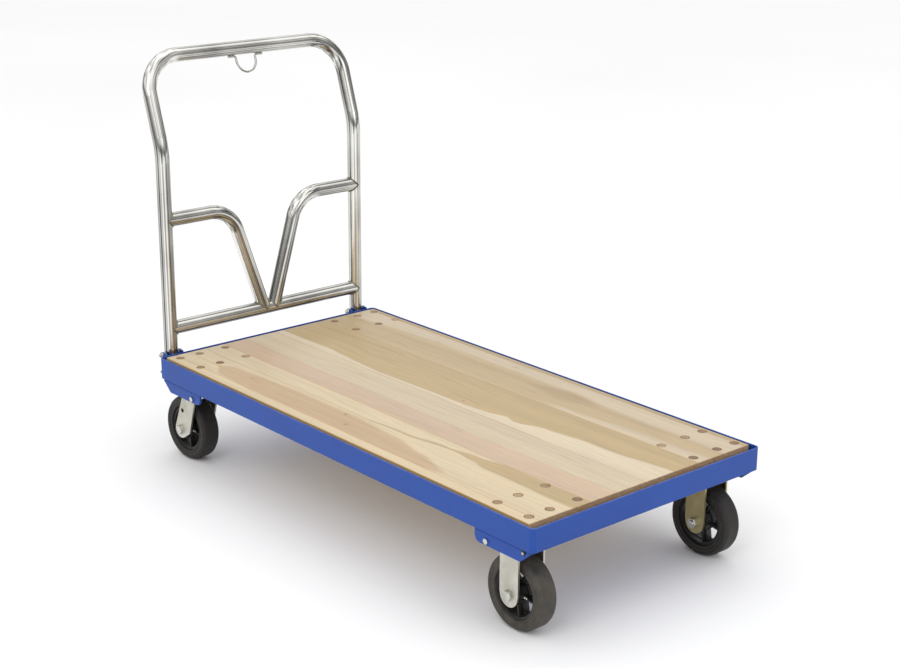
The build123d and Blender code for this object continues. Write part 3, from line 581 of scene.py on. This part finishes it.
def place(shape, name, look, body, slot_name, *replaced, crease=50):
    """Turns a finished mesh into a piece that rides on a body and wears the given look."""
    bmesh.ops.recalc_face_normals(shape, faces=shape.faces)
    for face in shape.faces:
        face.smooth = True
    for edge in shape.edges:
        edge.smooth = len(edge.link_faces) == 2 and edge.calc_face_angle(0) < math.radians(crease)
    mesh = bpy.data.meshes.new(name)
    shape.to_mesh(mesh)
    shape.free()
    mesh.materials.append(look.material)
    made = bpy.data.objects.new(name, mesh)
    bpy.context.scene.collection.objects.link(made)
    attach(made, body)
    if replaced:
        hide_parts(*replaced)
    return made


def saddle(origin, along, host):
    """The line where a round tube meets another of the same size whose axis is host."""
    first, second = across(along)
    square = along - host * along.dot(host)
    path = []
    for step in range(72):
        turn = 2 * math.pi * step / 72
        offset = TUBE * (first * math.cos(turn) + second * math.sin(turn))
        flat = offset - host * offset.dot(host)
        a, b, c = square.length_squared, 2 * flat.dot(square), flat.length_squared - TUBE**2
        reach = (-b + math.sqrt(max(0.0, b * b - 4 * a * c))) / (2 * a)
        path.append(origin + offset + along * reach)
    return path


def make_welds():
    """Beads where the handle's tubes meet, and up the corners of the post sockets."""
    x, z = CROSSBAR_MIDDLE.x, CROSSBAR_MIDDLE.z
    for side in SIDES:
        sign = OUTWARD[side]
        low, high = POST_BOX[side]
        post_y = (low.y + high.y) / 2
        inward = Vector((0, -sign, 0))
        run_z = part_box(f"handle_brace_{side}")[1].z - TUBE
        foot_y, slant = BRACE_FEET[side]
        slope = Vector((0, sign * math.sin(math.radians(slant)), math.cos(math.radians(slant))))
        joints = {
            "crossbar": (Vector((x, post_y, z)), inward, UP),
            "brace_end": (Vector((x, post_y, run_z)), inward, UP),
            "brace_foot": (Vector((x, foot_y, z)), slope, Vector((0, 1, 0))),
        }
        for label, joint in joints.items():
            shape = bmesh.new()
            sweep(shape, saddle(*joint), WELD_RADIUS, ripple=RIPPLE_DEPTH)
            place(shape, f"weld_{label}_{side}", WELD, "truck", "bright_tube")
        shape = bmesh.new()
        for corner in (low.y, high.y):
            count = int((frame_high.z - frame_low.z) / MM) - 2 * SOCKET_WELD_END
            heights = [frame_low.z + SOCKET_WELD_END * MM + k * MM for k in range(count)]
            path = [Vector((frame_low.x, corner, height)) for height in heights]
            sweep(shape, path, SOCKET_WELD, closed=False, ripple=RIPPLE_DEPTH)
        place(shape, f"weld_socket_{side}", BLUE, "truck", "blue_paint")


# Turned profiles, radius and height in millimetres.
PLUG_PROFILE = (
    (9.525, -12.0), (9.525, -1.0), (9.4, -0.9), (8.0, -0.15), (7.6, -0.1), (4.0, -0.05), (0.4, 0.0),
)
GREASE_PROFILE = (
    (2.9, -1.0), (2.9, 2.2), (1.8, 3.0), (1.6, 5.0), (2.3, 5.8), (2.3, 7.0), (1.3, 8.0), (0.5, 8.3),
)
# The fitting's place on the hub: outward along the axle, out from it, and its angle in degrees.
GREASE_OUT = 13.5 * MM
GREASE_ROOT = 21.5 * MM
GREASE_ANGLE = math.radians(-6)
# Moulded rings on a tyre wall: radius and distance from the wheel's middle, in millimetres.
TYRE_RINGS = ((62.5, 20.8), (56.5, 19.2))
TYRE_RING_RADIUS = 0.7 * MM


def make_plugs():
    """Turned plugs with a broken edge, each where the CAD has one."""
    groups = []
    for vertex in nodes["wood_plugs"].data.vertices:
        near = [g for g in groups if (g[0].xy - vertex.co.xy).length < 0.024]
        if near:
            near[0].append(vertex.co)
        else:
            groups.append([vertex.co])
    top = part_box("wood_plugs")[1].z
    shape = bmesh.new()
    for group in groups:
        middle_x = (min(v.x for v in group) + max(v.x for v in group)) / 2
        middle_y = (min(v.y for v in group) + max(v.y for v in group)) / 2
        lathe(shape, Vector((middle_x, middle_y, top)), UP, PLUG_PROFILE)
    place(shape, "turned_plugs", PLUG, "truck", "plug_wood", "wood_plugs", crease=60)


def broken_edges(node, width=0.55 * MM):
    """A stand-in for a fastener node, the same form with its sharp edges chamfered."""
    shape = bmesh.new()
    shape.from_mesh(nodes[node].data)
    bmesh.ops.remove_doubles(shape, verts=shape.verts, dist=1e-6)
    bmesh.ops.dissolve_limit(shape, angle_limit=math.radians(1), verts=shape.verts, edges=shape.edges)
    sharp = [e for e in shape.edges if len(e.link_faces) == 2 and e.calc_face_angle(0) > math.radians(40)]
    bmesh.ops.bevel(
        shape, geom=sharp, offset=width, segments=2, profile=0.5, affect="EDGES", clamp_overlap=True
    )
    place(shape, f"{node}_finished", HARDWARE, nodes[node]["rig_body"], "zinc_hardware", node, crease=28)


def make_wheel_detail():
    """A grease fitting on each hub and two moulded rings on each wall of the tyre."""
    for joint in frame["joints"]:
        body = joint["child"]
        if not body.startswith("wheel_"):
            continue
        centre, axis = Vector(joint["pos_m"]), Vector(joint["axis"]).normalized()
        ahead = axis.cross(UP).normalized()
        outward = OUTWARD[body.split("_")[-1]]
        spoke = (ahead * math.cos(GREASE_ANGLE) + UP * math.sin(GREASE_ANGLE)).normalized()
        shape = bmesh.new()
        root = centre + axis * outward * GREASE_OUT + spoke * GREASE_ROOT
        lathe(shape, root, spoke, GREASE_PROFILE, 16)
        place(shape, f"grease_fitting_{body}", HARDWARE, body, "zinc_hardware")
        shape = bmesh.new()
        for wall in (-1, 1):
            for radius, offset in TYRE_RINGS:
                middle = centre + axis * wall * offset * MM
                turns = [2 * math.pi * k / 96 for k in range(96)]
                spokes = [ahead * math.cos(t) + UP * math.sin(t) for t in turns]
                rim = [middle + radius * MM * spoke for spoke in spokes]
                sweep(shape, rim, TYRE_RING_RADIUS, sides=6)
        place(shape, f"tyre_rings_{body}", RINGS, body, "tyre_rubber")


WELD = plated("weld_metal", rgb(150, 142, 126), rgb(112, 104, 90), 0.4, streak=0.6)
RINGS = rubber("tyre_ring_rubber", rgb(46, 43, 40), rgb(112, 104, 92), 0.5)
make_welds()
make_plugs()
for kind in ("bolt", "nut"):
    for node_name in ("rigid_axle", "swivel_axle_left", "swivel_axle_right"):
        broken_edges(f"{node_name}_{kind}")
for node_name in ("side_bolts", "side_nuts", "post_bolts", "post_nuts"):
    broken_edges(node_name, 0.4 * MM)
make_wheel_detail()


# --- Studio ---------------------------------------------------------------------------------------

SKY_POWER = 0.98
LAMPS = (
    ("key", (1.6, -3.6, 3.6), 2.4, 40),
    ("fill", (4.6, 1.2, 2.2), 2.4, 15),
    ("top", (-0.6, 0.4, 5.0), 3.0, 20),
)


def make_sky():
    """Soft white overhead and all round, darker low down, so that bright metal has something to show."""
    world = bpy.data.worlds.new("studio")
    bpy.context.scene.world = world
    world.use_nodes = True
    tree = world.node_tree
    background = tree.nodes["Background"]
    coordinates = tree.nodes.new("ShaderNodeTexCoord")
    parts = tree.nodes.new("ShaderNodeSeparateXYZ")
    ramp = tree.nodes.new("ShaderNodeValToRGB")
    tree.links.new(coordinates.outputs["Generated"], parts.inputs[0])
    tree.links.new(parts.outputs[2], ramp.inputs[0])
    tree.links.new(ramp.outputs[0], background.inputs[0])
    elements = ramp.color_ramp.elements
    stops = ((0.0, 0.25), (0.12, 0.2), (0.22, 0.85), (0.45, 0.95), (0.6, 1.15), (1.0, 1.25))
    while len(elements) < len(stops):
        elements.new(0.5)
    for element, (place, value) in zip(elements, stops):
        element.position = place
        element.color = (value, value, value, 1)
    background.inputs[1].default_value = SKY_POWER


def make_studio():
    """A pale floor, the sky and three large soft lamps."""
    bpy.ops.mesh.primitive_plane_add(size=60)
    floor = bpy.context.object
    floor.name = "floor"
    floor_look = Look("floor_white", Roughness=0.9)
    dapple = floor_look.noise((0.5, 0.5, 0.5), detail=2)
    share = floor_look.span(dapple, 0.3, 0.7)
    floor_look.set(Base_Color=floor_look.mix(share, rgb(240, 240, 240), rgb(244, 244, 244)))
    floor.data.materials.append(floor_look.material)
    make_sky()
    for name, place, size, power in LAMPS:
        lamp = bpy.data.objects.new(name, bpy.data.lights.new(name, "AREA"))
        lamp.data.size = size
        lamp.data.energy = power
        lamp.location = place
        lamp.rotation_euler = (Vector((0, 0, 0.4)) - Vector(place)).to_track_quat("-Z", "Y").to_euler()
        bpy.context.scene.collection.objects.link(lamp)


make_studio()
